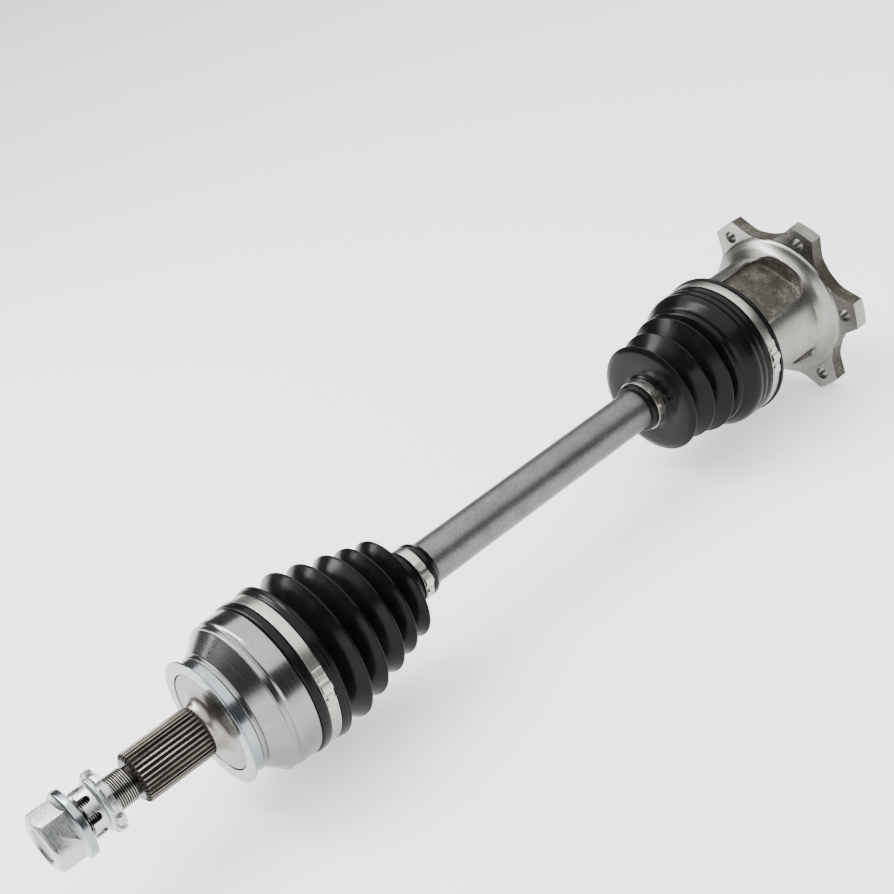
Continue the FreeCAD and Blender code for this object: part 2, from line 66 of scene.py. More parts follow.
# Shader sockets that can be added, subtracted and multiplied like numbers.
class Flow:
    def __init__(self, tree, socket):
        self.tree = tree
        self.socket = socket

    def add(self, kind, settings=None, sockets=None, out=0):
        node = self.tree.nodes.new(kind)
        for key, setting in (settings or {}).items():
            if key == "stops":
                self.fillRamp(node.color_ramp, setting)
            else:
                setattr(node, key, setting)
        for key, given in (sockets or {}).items():
            if isinstance(given, Flow):
                self.tree.links.new(given.socket, node.inputs[key])
            else:
                node.inputs[key].default_value = given
        return Flow(self.tree, node.outputs[out])

    def fillRamp(self, ramp, stops):
        while len(ramp.elements) < len(stops):
            ramp.elements.new(0.5)
        for element, (place, tone) in zip(ramp.elements, stops):
            element.position = place
            element.color = (tone, tone, tone, 1) if isinstance(tone, (int, float)) else (*tone, 1)

    def math(self, operation, *others):
        return self.add("ShaderNodeMath", {"operation": operation}, dict(enumerate((self,) + others)))

    def reflected(self, operation, first):
        return self.add("ShaderNodeMath", {"operation": operation}, {0: first, 1: self})

    def __add__(self, other):
        return self.math("ADD", other)

    def __radd__(self, other):
        return self.reflected("ADD", other)

    def __sub__(self, other):
        return self.math("SUBTRACT", other)

    def __rsub__(self, other):
        return self.reflected("SUBTRACT", other)

    def __mul__(self, other):
        return self.math("MULTIPLY", other)

    def __rmul__(self, other):
        return self.reflected("MULTIPLY", other)

    def ramp(self, *stops):
        return self.add("ShaderNodeValToRGB", {"stops": stops}, {0: self})

    def between(self, low, high, start=0.0, end=1.0):
        return self.add("ShaderNodeMapRange", {"interpolation_type": "SMOOTHSTEP"},
                        {0: self, 1: low, 2: high, 3: start, 4: end})

    def noise(self, scale, detail=2.0, rough=0.5):
        return self.add("ShaderNodeTexNoise", {}, {"Vector": self, "Scale": scale, "Detail": detail,
                                                   "Roughness": rough})

    def blendTo(self, other, amount):
        return self.add("ShaderNodeMix", {"data_type": "RGBA"}, {0: amount, 6: self, 7: other}, out=2)

    def bump(self, height, depth, strength=1.0):
        return self.add("ShaderNodeBump", {}, {"Height": height, "Distance": depth, "Strength": strength})


def newMaterial(name):
    made = bpy.data.materials.new(name)
    made.use_nodes = True
    shader = made.node_tree.nodes["Principled BSDF"]
    place = made.node_tree.nodes.new("ShaderNodeTexCoord")
    return made, shader, Flow(made.node_tree, place.outputs["Object"])


def wire(made, shader, links):
    for key, given in links.items():
        if isinstance(given, Flow):
            made.node_tree.links.new(given.socket, shader.inputs[key])
        else:
            shader.inputs[key].default_value = given


# x, y, z and the distance from the axle's axis
def axisParts(spot):
    x = spot.add("ShaderNodeSeparateXYZ", {}, {0: spot})
    y = Flow(spot.tree, x.socket.node.outputs[1])
    z = Flow(spot.tree, x.socket.node.outputs[2])
    return x, y, z, (y * y + z * z).math("SQRT")


# Fine lathe lines round the axis, a faint stain and a grain in colour, roughness and height.
def metal(name, look):
    made, shader, spot = newMaterial(name)
    x, y, z, radius = axisParts(spot)
    rings = spot.add("ShaderNodeCombineXYZ", {}, {0: x, 1: radius, 2: 0.0})
    lines = rings.noise(look["lineScale"], 3.0, 0.6)
    stain = spot.noise(look["stainScale"], 4.0, 0.6)
    grain = spot.noise(look["grainScale"], 2.0, 0.7)
    mixed = (stain * 0.55 + grain * 0.45).ramp((0.35, look["dark"]), (0.65, look["light"]))
    rough = lines.between(0.3, 0.7, *look["rough"]) + (stain - 0.5) * look["smear"]
    height = lines * look["lineDepth"] + grain * look["grainDepth"]
    wire(made, shader, {"Base Color": mixed, "Roughness": rough, "Metallic": 1.0,
                        "Normal": spot.bump(height, look.get("depth", 0.00004), 1.0)})
    return made


turnedSteel = metal("turnedSteel", {
    "dark": (0.21, 0.208, 0.206), "light": (0.28, 0.278, 0.276), "rough": (0.15, 0.25), "smear": 0.08,
    "lineScale": 2600, "stainScale": 45, "grainScale": 900, "lineDepth": 0.10, "grainDepth": 0.04})
stubFace = metal("stubFace", {
    "dark": (0.19, 0.176, 0.162), "light": (0.28, 0.268, 0.25), "rough": (0.24, 0.36), "smear": 0.15,
    "lineScale": 1900, "stainScale": 70, "grainScale": 1100, "lineDepth": 0.18, "grainDepth": 0.12})
zincPlate = metal("zincPlate", {
    "dark": (0.36, 0.375, 0.38), "light": (0.60, 0.62, 0.625), "rough": (0.22, 0.34), "smear": 0.06,
    "lineScale": 900, "stainScale": 700, "grainScale": 2300, "lineDepth": 0.05, "grainDepth": 1.0,
    "depth": 0.0001})
zincRing = metal("zincRing", {
    "dark": (0.27, 0.30, 0.315), "light": (0.35, 0.385, 0.40), "rough": (0.14, 0.26), "smear": 0.12,
    "lineScale": 1400, "stainScale": 90, "grainScale": 1500, "lineDepth": 0.12, "grainDepth": 0.12})
clampSteel = metal("clampSteel", {
    "dark": (0.38, 0.367, 0.335), "light": (0.50, 0.486, 0.45), "rough": (0.22, 0.36), "smear": 0.08,
    "lineScale": 3200, "stainScale": 40, "grainScale": 1200, "lineDepth": 0.22, "grainDepth": 0.08})
groundSteel = metal("groundSteel", {
    "dark": (0.50, 0.50, 0.50), "light": (0.68, 0.68, 0.68), "rough": (0.14, 0.24), "smear": 0.08,
    "lineScale": 2200, "stainScale": 140, "grainScale": 1600, "lineDepth": 0.08, "grainDepth": 0.05})
bluedSteel = metal("bluedSteel", {
    "dark": (0.05, 0.055, 0.07), "light": (0.12, 0.125, 0.14), "rough": (0.26, 0.40), "smear": 0.15,
    "lineScale": 1800, "stainScale": 140, "grainScale": 1400, "lineDepth": 0.10, "grainDepth": 0.15})
turnedFlange = metal("turnedFlange", {
    "dark": (0.22, 0.213, 0.198), "light": (0.33, 0.322, 0.302), "rough": (0.25, 0.35), "smear": 0.12,
    "lineScale": 2200, "stainScale": 60, "grainScale": 1000, "lineDepth": 0.03, "grainDepth": 0.06})


# Painted shade in the roots and a painted highlight on the crests, graded by radius, for the spline and the
# thread.
def cutSteel(name, look):
    made, shader, spot = newMaterial(name)
    x, y, z, radius = axisParts(spot)
    # Painted light: this mask rises from the roots to the crests, so the roots get painted shade and the
    # crests a painted highlight.
    crest = radius.between(look["root"] * mm, look["tip"] * mm)
    grime = spot.noise(look["grimeScale"], 4.0, 0.65)
    grain = spot.noise(1900, 2.0, 0.6)
    paintedLightAndGrime = crest * 0.8 + grime * 0.35
    # The ramp runs from painted shade in the roots, over the flanks, to a painted highlight on the crests;
    # the grime noise adds real random tone.
    colour = paintedLightAndGrime.ramp((0.18, look["paintedRootShade"]), (0.72, look["side"]), (1.0, look["top"]))
    wire(made, shader, {"Base Color": colour, "Metallic": 1.0,
                        "Roughness": grain.between(0.3, 0.7, 0.20, 0.34) + (grime - 0.5) * 0.2,
                        "Normal": spot.bump(grain, 0.00003, 0.6)})
    return made


# Tones for the painted shade in the roots, the flanks and the painted highlight on the crests.
splineSteel = cutSteel("splineSteel", {
    "root": 16.3, "tip": 17.85, "grimeScale": 160,
    "paintedRootShade": (0.018, 0.016, 0.013), "side": (0.060, 0.055, 0.045), "top": (0.23, 0.218, 0.19)})
threadSteel = cutSteel("threadSteel", {
    "root": 11.1, "tip": 11.9, "grimeScale": 220,
    "paintedRootShade": (0.05, 0.047, 0.042), "side": (0.17, 0.165, 0.155), "top": (0.48, 0.47, 0.45)})


def rubberFinish():
    look = {"base": (0.0035, 0.0035, 0.004), "bloom": (0.006, 0.006, 0.007), "rough": (0.17, 0.27)}
    made, shader, spot = newMaterial("bootRubber")
    dust = spot.noise(90, 4.0, 0.65)
    grain = spot.noise(2400, 2.0, 0.6)
    wire(made, shader, {"Base Color": dust.ramp((0.35, look["base"]), (0.75, look["bloom"])),
                        "Roughness": dust.between(0.3, 0.7, *look["rough"]), "Specular IOR Level": 0.13,
                        "Normal": spot.bump(grain, 0.00003, 0.6)})
    return made


def barFinish():
    look = {"dark": (0.095, 0.095, 0.097), "light": (0.155, 0.155, 0.157), "speck": (0.32, 0.32, 0.32)}
    made, shader, spot = newMaterial("barCoat")
    cloud = spot.noise(60, 4.0, 0.6)
    speck = spot.noise(1900, 3.0, 0.8)
    light = spot.add("ShaderNodeRGB")
    light.socket.default_value = (*look["speck"], 1)
    colour = cloud.ramp((0.3, look["dark"]), (0.7, look["light"])).blendTo(light, speck.between(0.52, 0.68))
    wire(made, shader, {"Base Color": colour, "Metallic": 0.85,
                        "Roughness": speck.between(0.35, 0.65, 0.26, 0.42),
                        "Normal": spot.bump(speck, 0.00008, 1.0)})
    return made


# As-forged scale: olive brown with lighter rubbed scratches in patches.
def forgedFinish():
    look = {"dark": (0.022, 0.020, 0.015), "light": (0.090, 0.084, 0.066), "rubbed": (0.36, 0.35, 0.31)}
    made, shader, spot = newMaterial("forgedSteel")
    lump = spot.noise(240, 5.0, 0.7)
    grit = spot.noise(1100, 4.0, 0.75)
    patch = spot.noise(55, 2.0, 0.5)
    light = spot.add("ShaderNodeRGB")
    light.socket.default_value = (*look["rubbed"], 1)
    worn = patch.between(0.48, 0.66) * grit.between(0.50, 0.60)
    skin = (lump * 0.5 + grit * 0.5).ramp((0.38, look["dark"]), (0.64, look["light"]))
    colour = skin.blendTo(light, worn * 0.75)
    wire(made, shader, {"Base Color": colour, "Metallic": 0.7,
                        "Roughness": grit.between(0.3, 0.7, 0.40, 0.62),
                        "Normal": spot.bump(lump * 0.6 + grit, 0.00030, 1.0)})
    return made


def plasticFinish():
    made, shader, spot = newMaterial("bushingPlastic")
    grain = spot.noise(1200, 3.0, 0.6)
    cloud = spot.noise(160, 3.0, 0.5)
    wire(made, shader, {"Base Color": cloud.ramp((0.3, (0.010, 0.010, 0.011)), (0.7, (0.028, 0.028, 0.029))),
                        "Roughness": grain.between(0.3, 0.7, 0.42, 0.58),
                        "Normal": spot.bump(grain, 0.00004, 0.7)})
    return made


bootRubber = rubberFinish()
barCoat = barFinish()
forgedSteel = forgedFinish()
bushingPlastic = plasticFinish()
print("materials made")


def finishMesh(name, bm, finish, body, stands=(), sharp=32):
    bmesh.ops.recalc_face_normals(bm, faces=bm.faces)
    mesh = bpy.data.meshes.new(name)
    bm.to_mesh(mesh)
    bm.free()
    mesh.shade_smooth()
    mesh.set_sharp_from_angle(angle=math.radians(sharp))
    piece = bpy.data.objects.new(name, mesh)
    bpy.context.scene.collection.objects.link(piece)
    mesh.materials.append(finish)
    if body:
        assign(piece, body, stands)
    return piece


def assign(piece, body, stands):
    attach(piece, body)
    if stands:
        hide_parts(*stands)


# Corners of an outline of (station, radius) points, each rounded by its own third number if it has one.
def rounded(points, default, closed, segments=4):
    count = len(points)
    out = []
    for index, point in enumerate(points):
        corner = Vector(point[:2])
        reach = point[2] if len(point) > 2 else default
        if reach == 0 or corner.y < 0.01 or (not closed and index in (0, count - 1)):
            out.append(tuple(corner))
            continue
        before = Vector(points[index - 1][:2]) - corner
        after = Vector(points[(index + 1) % count][:2]) - corner
        reach = min(reach, 0.45 * before.length, 0.45 * after.length)
        start = corner + before.normalized() * reach
        end = corner + after.normalized() * reach
        for step in range(segments + 1):
            t = step / segments
            out.append(tuple(start * (1 - t) ** 2 + corner * 2 * t * (1 - t) + end * t ** 2))
    return out


# Turn an outline once about the X axis.
def turn(bm, points, steps=160, soften=0.0, closed=True):
    verts = [bm.verts.new((x * mm, 0, r * mm)) for x, r in rounded(points, soften, closed)]
    for pair in zip(verts, verts[1:]):
        bm.edges.new(pair)
    if closed:
        bm.edges.new((verts[-1], verts[0]))
    bmesh.ops.spin(bm, geom=bm.verts[:] + bm.edges[:], cent=(0, 0, 0), axis=along, angle=full,
                   steps=steps, use_merge=True)
    bmesh.ops.remove_doubles(bm, verts=bm.verts, dist=1e-6)


def lathe(name, points, finish, body, slot, stands=(), **how):
    bm = bmesh.new()
    turn(bm, points, **how)
    return finishMesh(name, bm, finish, body, stands)


def spinAll(bm, angle, about="X"):
    bmesh.ops.rotate(bm, verts=bm.verts, cent=(0, 0, 0), matrix=Matrix.Rotation(angle, 3, about))


def toolMesh(name, bm):
    mesh = bpy.data.meshes.new(name)
    bmesh.ops.recalc_face_normals(bm, faces=bm.faces)
    bm.to_mesh(mesh)
    bm.free()
    tool = bpy.data.objects.new(name, mesh)
    bpy.context.scene.collection.objects.link(tool)
    return tool


# Boolean with another mesh, made real; the tool is removed.
def carve(piece, tool, operation="DIFFERENCE"):
    cut = piece.modifiers.new("cut", "BOOLEAN")
    cut.operation = operation
    cut.solver = "EXACT"
    cut.object = tool
    makeReal(piece)
    bpy.data.objects.remove(tool)


def makeReal(piece):
    graph = bpy.context.evaluated_depsgraph_get()
    mesh = bpy.data.meshes.new_from_object(piece.evaluated_get(graph))
    piece.modifiers.clear()
    piece.data = mesh


# Small rounded edges wherever two faces meet at an angle.
def edgeBreak(piece, width, segments=2, angle=30):
    bevel = piece.modifiers.new("edges", "BEVEL")
    bevel.width = width * mm
    bevel.segments = segments
    bevel.limit_method = "ANGLE"
    bevel.angle_limit = math.radians(angle)
    bevel.harden_normals = False
    makeReal(piece)
    piece.data.shade_smooth()
    piece.data.set_sharp_from_angle(angle=math.radians(40))


bellSizes = {"disc": -594.6, "bore": 35.75, "neck": 42.9, "cone": 43.0, "bead": 54.1, "radius": 55.2,
             "seat": 52.4, "seatAt": -549.0, "mouth": -529, "centre": -548, "cave": 36}


def makeBell():
    s = bellSizes
    disc, radius, bead = s["disc"], s["radius"], s["bead"]
    outline = [(-603, 0), (-603, 16.9), (-601.8, 17.7, 0.6), (-599.0, 18.7, 1.2), (-596.8, 20.4, 1.2),
               (-595.4, 23.0, 1.2), (disc, 26.5, 1.5), (disc, s["bore"] - 0.5), (disc + 0.6, s["bore"]),
               (-586, s["bore"]), (-586, s["neck"] - 1), (-585.4, s["neck"]), (-583.3, s["neck"]),
               (-582.9, s["neck"] - 0.9), (-582.2, s["neck"] - 0.9), (-581.8, s["cone"]),
               (-569.8, bead - 1.3), (-569.4, bead - 0.2), (-568.8, bead), (-566.2, bead),
               (-565.6, bead - 0.4), (-565.1, bead - 0.4), (-564.6, bead + 0.1), (-563.4, radius - 0.25, 0.8),
               (-562.0, radius, 0.6), (s["seatAt"], radius), (s["seatAt"], s["seat"]),
               (s["mouth"], s["seat"]), (s["mouth"], 46)]
    for turned in range(-12, 91, 6):  # the round cave behind the mouth
        angle = math.radians(turned)
        outline.append((s["centre"] - s["cave"] * math.sin(angle), round(s["cave"] * math.cos(angle), 6)))
    bell = lathe("outerBell", outline, turnedSteel, "housing", "turned_steel", ("outer_housing",),
                 steps=192, soften=0.28)
    bell.data.materials.append(stubFace)
    for face in bell.data.polygons:
        if face.center.x < (disc + 0.3) * mm:
            face.material_index = 1


splineSizes = {"teeth": 33, "tip": 17.9, "root": 16.1, "start": -654.8, "end": -602.6, "nose": 2.2}


def makeSpline():
    s = splineSizes
    bm = bmesh.new()
    lift = [0, 0, 0.35, 0.85, 1.0, 0.85, 0.35, 0]
    count = s["teeth"] * len(lift)
    bmesh.ops.create_circle(bm, cap_ends=False, segments=count, radius=s["root"] * mm)
    spinAll(bm, math.radians(90), "Y")
    edges = bm.edges[:]
    rings = [bm.verts[:]]
    stations = [(s["start"], 0.0, 0.90), (s["start"] + s["nose"], 1.0, 1.0), (s["end"] - 3.5, 1.0, 1.0),
                (s["end"] + 0.6, 0.15, 1.04)]
    for _ in stations[1:]:
        grown = bmesh.ops.extrude_edge_only(bm, edges=edges)["geom"]
        edges = [g for g in grown if isinstance(g, bmesh.types.BMEdge) and len(g.link_faces) == 1]
        rings.append([g for g in grown if isinstance(g, bmesh.types.BMVert)])
    for verts, (station, share, swell) in zip(rings, stations):
        for vert in verts:
            angle = math.atan2(vert.co.y, vert.co.z) % full
            step = round(angle / full * count) % len(lift)
            radius = (s["root"] * swell + (s["tip"] - s["root"]) * lift[step] * share) * mm
            vert.co = Vector((0, vert.co.y, vert.co.z)).normalized() * radius + along * station * mm
    rim = [e for e in bm.edges if len(e.link_faces) == 1 and e.verts[0].co.x < (s["start"] + 0.5) * mm]
    bmesh.ops.contextual_create(bm, geom=rim)
    return finishMesh("stubSpline", bm, splineSteel, "housing", ("outer_housing",), sharp=50)


threadSizes = {"start": -718.6, "end": -657.2, "crest": 12.0, "root": 11.0, "pitch": 1.5, "steps": 44}


def makeThread():
    s = threadSizes
    bm = bmesh.new()
    core = [(-719, 0), (-719, 10.2), (-718, 11.05), (-657.6, 11.05), (-657.0, 10.2), (-654, 10.2), (-654, 0)]
    turn(bm, core, steps=96, soften=0.2, closed=False)
    half = s["pitch"] / 2
    x = s["start"]
    ridge = [(x - half * 0.92, s["root"]), (x - 0.14, s["crest"]), (x + 0.14, s["crest"]),
             (x + half * 0.92, s["root"]), (x, s["root"] - 0.5)]
    verts = [bm.verts.new((px * mm, 0, pr * mm)) for px, pr in ridge]
    face = bm.faces.new(verts)
    steps = int((s["end"] - s["start"] - half) / s["pitch"] * s["steps"])
    bmesh.ops.spin(bm, geom=[face] + list(face.edges) + verts, cent=(0, 0, 0), axis=along,
                   dvec=(s["pitch"] / s["steps"] * mm, 0, 0), angle=full * steps / s["steps"],
                   steps=steps, use_merge=False)
    return finishMesh("stubThread", bm, threadSteel, "housing", ("outer_housing",), sharp=40)


makeBell()
makeSpline()
makeThread()
print("bell and stub made")


slingerSizes = {"lip": -595, "rim": 45.6, "hole": 36.25, "body": 42.4, "end": -586, "thick": 1.3}


def makeSlinger():
    s = slingerSizes
    t = s["thick"]
    outline = [(s["lip"], s["hole"]), (s["lip"], s["rim"], 0.5), (s["lip"] + t, s["rim"], 0.5),
               (s["lip"] + t + 0.3, s["body"] + 0.9, 0.6), (s["lip"] + t + 1.2, s["body"], 0.6),
               (s["end"], s["body"]), (s["end"], s["hole"])]
    return lathe("slingerRing", outline, zincRing, "housing", "zinc_plate", ("slinger_ring",),
                 steps=192, soften=0.3)


makeSlinger()


nutSizes = {"end": -720, "face": -695, "flats": 36, "flange": 23.5, "bore": 12.05, "flangeThick": 6.5,
            "turn": 0}


def makeNut():
    s = nutSizes
    corner = s["flats"] / math.sqrt(3)
    hexStart, hexEnd = s["end"], s["face"] - s["flangeThick"]
    bm = bmesh.new()
    bmesh.ops.create_cone(bm, cap_ends=True, segments=6, radius1=corner * mm, radius2=corner * mm,
                          depth=(hexEnd - hexStart + 2) * mm)
    spinAll(bm, math.radians(90), "Y")
    bmesh.ops.translate(bm, verts=bm.verts, vec=((hexStart + hexEnd + 2) / 2 * mm, 0, 0))
    spinAll(bm, math.radians(s["turn"]))
    nut = finishMesh("hubNut", bm, zincPlate, None)
    shell = bmesh.new()
    turn(shell, [(hexStart, 0), (hexStart, s["flats"] / 2 - 1.2), (hexStart + 1.0, s["flats"] / 2 + 0.4, 0.8),
                 (hexStart + 2.8, corner + 0.3), (s["face"] + 1, corner + 0.3), (s["face"] + 1, 0)],
         steps=96, closed=False)
    carve(nut, toolMesh("nutChamfer", shell), "INTERSECT")
    flange = bmesh.new()
    turn(flange, [(hexEnd - 1.6, 0), (hexEnd - 1.6, corner - 2.4), (hexEnd + 0.6, s["flange"] - 1.2, 0.8),
                  (hexEnd + 1.6, s["flange"], 0.6), (s["face"] - 0.5, s["flange"]),
                  (s["face"], s["flange"] - 0.9), (s["face"], 0)], steps=128, soften=0.4, closed=False)
    carve(nut, toolMesh("nutFlange", flange), "UNION")
    bore = bmesh.new()
    turn(bore, [(s["end"] - 1, 0), (s["end"] - 1, s["bore"] + 2.2), (s["end"] + 1.6, s["bore"]),
                (s["face"] - 1.4, s["bore"]), (s["face"] + 1, s["bore"] + 2), (s["face"] + 1, 0)],
         steps=96, closed=False)
    carve(nut, toolMesh("nutBore", bore))
    edgeBreak(nut, 0.5, 3, 25)
    assign(nut, "nut", ("hub_nut",))
    nut.data.materials.append(zincRing)
    for face in nut.data.polygons:
        if (hexEnd + 0.8) * mm < face.center.x < (s["face"] - 0.4) * mm:
            face.material_index = 1


makeNut()


retainerSizes = {"crown": -691.5, "end": -673.1, "cup": 16.2, "inside": 14.4, "ridge": 18.9, "skirt": 21.8,
                 "root": 18.7, "bore": 12.3, "slots": 8, "slotHalf": 2.9, "slotEnd": -684.1,
                 "tabs": 12, "gap": 4.4}


def makeRetainer():
    s = retainerSizes
    bm = bmesh.new()
    turn(bm, [(s["crown"], s["inside"]), (s["crown"], s["cup"]), (-681.9, s["cup"]),
              (-681.3, s["ridge"] - 1.2, 0.9),
              (-679.9, s["ridge"], 0.9), (-678.8, s["ridge"] - 0.5, 0.4), (-678.4, s["skirt"] - 1.0, 0.5),
              (-677.4, s["skirt"], 0.6),
              (s["end"], s["skirt"]), (s["end"], s["root"] - 1.6), (-676.3, s["root"] - 1.7),
              (-677.1, s["bore"]), (-679.1, s["bore"]), (-681.1, s["inside"])],
         steps=144, soften=0.35)
    piece = finishMesh("nutRetainer", bm, zincPlate, None)
    for index in range(s["slots"]):
        slot = bmesh.new()
        bmesh.ops.create_cone(slot, cap_ends=True, segments=24, radius1=s["slotHalf"] * mm,
                              radius2=s["slotHalf"] * mm, depth=9 * mm)
        bmesh.ops.translate(slot, verts=[v for v in slot.verts if v.co.x < 1e-7], vec=(-9 * mm, 0, 0))
        bmesh.ops.translate(slot, verts=slot.verts, vec=((s["slotEnd"] - s["slotHalf"]) * mm, 0, 16.4 * mm))
        spinAll(slot, full * index / s["slots"] + clock)
        carve(piece, toolMesh("crownSlot", slot))
    for index in range(s["tabs"]):
        gap = bmesh.new()
        bmesh.ops.create_cube(gap, size=1)
        bmesh.ops.scale(gap, verts=gap.verts, vec=(7 * mm, s["gap"] * mm, 5 * mm))
        bmesh.ops.translate(gap, verts=gap.verts, vec=(-675.3 * mm, 0, (s["root"] + 2.5) * mm))
        spinAll(gap, full * index / s["tabs"] + clock)
        carve(piece, toolMesh("skirtGap", gap))
    edgeBreak(piece, 0.35, 2, 30)
    assign(piece, "retainer", ("nut_retainer",))


makeRetainer()
print("nut and retainer made")


def makeBar():
    outline = [(-564.4, 0), (-564.4, 12.0), (-563.8, 12.4), (-562.6, 12.4), (-562.6, 10.8), (-561, 10.8),
               (-561, 12.4), (-535, 12.4), (-534.6, 12.8), (-438, 12.8), (-430, 16), (-166, 16),
               (-158, 12.8), (-69, 12.8), (-68.8, 12.4), (-45, 12.4), (-45, 10.8), (-43.4, 10.8),
               (-43.4, 12.4), (-42.2, 12.4), (-41.6, 11.8), (-41.6, 0)]
    return lathe("axleBar", outline, barCoat, "shaft", "bar_finish", ("axle_bar",),
                 steps=128, soften=0.25, closed=False)


makeBar()


# A fold's crest: a narrow moulded land with a small step in front of it.
def crestAt(x, radius):
    return [(x - 0.9, radius - 0.45, 0.25), (x - 0.7, radius - 0.05, 0.15), (x + 0.5, radius, 0.45)]


# Crests with one rounded valley between each two, and a bulging face in front of each crest.
def foldsOf(crests, valleys, bulge):
    points = crestAt(*crests[0])
    for (x, radius), (valleyX, valleyRadius) in zip(crests[1:], valleys):
        faceX = valleyX + 0.48 * (x - valleyX)
        points += [(valleyX, valleyRadius, 2.0), (faceX, valleyRadius + bulge * (radius - valleyRadius), 3.0)]
        points += crestAt(x, radius)
    return points


def makeBoot(name, line, wall):
    outside = rounded(line, 0.5, False)
    lining = [(x, r - wall, 0) for x, r in outside]
    bm = bmesh.new()
    turn(bm, [(x, r, 0) for x, r in outside] + lining[::-1], steps=144)
    return finishMesh(name, bm, bootRubber, None, sharp=60)


outerBootSizes = {
    "wall": 2.2, "seat": 54.9, "cuff": 19.2, "lip": 56.7,
    "crests": [(-526.6, 57.6), (-507.4, 56.2), (-489.4, 51.6), (-470.2, 46.3), (-454.6, 42.0),
               (-439.0, 38.0)],
    "valleys": [(-520.4, 43.0), (-501.4, 39.5), (-483.4, 35.0), (-465.2, 30.5), (-449.6, 27.0)]}


def makeOuterBoot():
    s = outerBootSizes
    cuff, lip = s["cuff"], s["lip"]
    start = [(-548.5, s["seat"] - 1.2), (-548.5, lip - 0.7, 0.9), (-547.2, lip, 0.9), (-543.0, lip, 0.9),
             (-541.7, lip - 0.7, 0.6), (-541.6, s["seat"], 0.2), (-532.9, s["seat"], 0.2),
             (-532.7, 56.2, 0.3), (-531.2, 56.8, 0.3), (-530.9, 56.4, 0.1),
             (-529.5, 57.2, 0.3), (-529.2, 56.8, 0.1)]
    end = [(-434.4, 27.0, 2.5), (-431.5, cuff + 1.8, 1.5), (-427.4, cuff + 1.4, 0.5), (-425.6, cuff, 0.3),
           (-417.4, cuff, 0.3), (-416.4, cuff + 1.0, 0.5), (-413.4, cuff + 0.8, 0.6),
           (-411.2, cuff - 0.6, 0.8), (-409.4, 17.6)]
    boot = makeBoot("outerBoot", start + foldsOf(s["crests"], s["valleys"], 0.58) + end, s["wall"])
    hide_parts("outer_boot")
    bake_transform(boot)
    return boot


innerBootSizes = {
    "wall": 2.2, "cuff": 19.2, "seat": 56.2,
    "crests": [(-168.6, 44.6), (-148.8, 45.6), (-131.2, 49.8)],
    "valleys": [(-162.6, 30.0), (-143.2, 33.0)]}


def makeInnerBoot():
    s = innerBootSizes
    cuff = s["cuff"]
    neck = [(-187.0, 17.6), (-186.6, cuff - 0.4, 0.8), (-184.9, cuff + 0.2, 0.5), (-182.7, cuff, 0.2),
            (-174.4, cuff, 0.2), (-173.6, cuff + 1.3, 0.5), (-172.4, cuff + 2.6, 0.6), (-171.9, 25.0, 1.2),
            (-172.3, 33.0, 3.0), (-171.4, 40.5, 2.0)]
    front = neck + foldsOf(s["crests"], s["valleys"], 0.52)
    front += [(-127.0, 38.0, 2.0), (-122.4, 48.0, 0.8), (-121.4, 49.2, 0.4), (-120.2, 48.9, 0.6),
              (-118.6, 49.6)]
    back = [(-118.6, 49.6), (-114.2, 53.2, 2.0), (-110.4, 56.2, 2.0), (-106.4, 57.3, 1.6),
            (-103.4, 56.4, 1.2), (-100.4, 57.3, 1.4), (-97.6, 56.4, 1.0), (-95.0, 57.2, 0.9),
            (-92.4, 57.0, 0.5), (-92.2, s["seat"], 0.2), (-83.7, s["seat"], 0.2),
            (-83.5, 58.6, 0.5), (-80.6, 58.6, 0.7), (-80.2, 57.0)]
    tip = makeBoot("innerBootFolds", front, s["wall"])
    bulge = makeBoot("innerBootBulge", back, s["wall"])
    for piece in (tip, bulge):
        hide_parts("inner_boot")
    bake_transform(tip)
    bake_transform(bulge)


makeOuterBoot()
makeInnerBoot()
print("boots made")


clampRows = (
    ("outerBigClamp", "outer_boot_large_clamp", "housing",
     {"start": -541.4, "wide": 8.1, "inner": 55.2, "ear": 82}),
    ("outerSmallClamp", "outer_boot_small_clamp", "shaft",
     {"start": -425.0, "wide": 7.0, "inner": 19.4, "ear": 85}),
    ("innerBigClamp", "inner_boot_large_clamp", "tulip",
     {"start": -92.0, "wide": 8.1, "inner": 56.5, "ear": 88}),
    ("innerSmallClamp", "inner_boot_small_clamp", "shaft",
     {"start": -182.2, "wide": 7.4, "inner": 19.4, "ear": 62}),
)
# The overlap with its crimped ear and hooks: arc length, height over the band and share of its width.
buckleLine = ((0.0, 0.15, 0.92), (0.5, 0.75, 0.92), (5.0, 0.80, 0.92), (5.4, 1.7, 0.62), (7.8, 1.8, 0.62),
              (8.2, 0.85, 0.92), (10.4, 0.85, 0.92), (11.0, 2.2, 0.92), (13.4, 2.7, 0.92), (15.8, 2.3, 0.92),
              (16.5, 0.9, 0.92), (18.6, 0.85, 0.92), (19.0, 1.6, 0.50), (21.6, 1.7, 0.50), (22.0, 0.8, 0.92),
              (27.5, 0.75, 0.92), (28.0, 0.15, 0.92))


def makeClamp(name, node, body, s):
    thick = 0.8
    bm = bmesh.new()
    inner, outer = s["inner"], s["inner"] + thick
    start, end = s["start"], s["start"] + s["wide"]
    turn(bm, [(start, inner), (start, outer), (end, outer), (end, inner)], steps=160, soften=0.22)
    middle = (start + end) / 2
    rings = []
    for arc, height, share in buckleLine:
        angle = math.radians(s["ear"]) + (arc - 14) / outer
        half = s["wide"] / 2 * share
        foot, top = outer - 0.1, outer + height
        spots = ((middle - half, foot), (middle - half, top), (middle + half, top), (middle + half, foot))
        across, up = -math.sin(angle) * mm, math.cos(angle) * mm
        rings.append([bm.verts.new((x * mm, across * r, up * r)) for x, r in spots])
    for low, high in zip(rings, rings[1:]):
        for side in range(4):
            bm.faces.new((low[side], low[(side + 1) % 4], high[(side + 1) % 4], high[side]))
    bm.faces.new(rings[0])
    bm.faces.new(rings[-1][::-1])
    return finishMesh(name, bm, clampSteel, body, (node,))


for row in clampRows:
    makeClamp(*row)
print("clamps made")


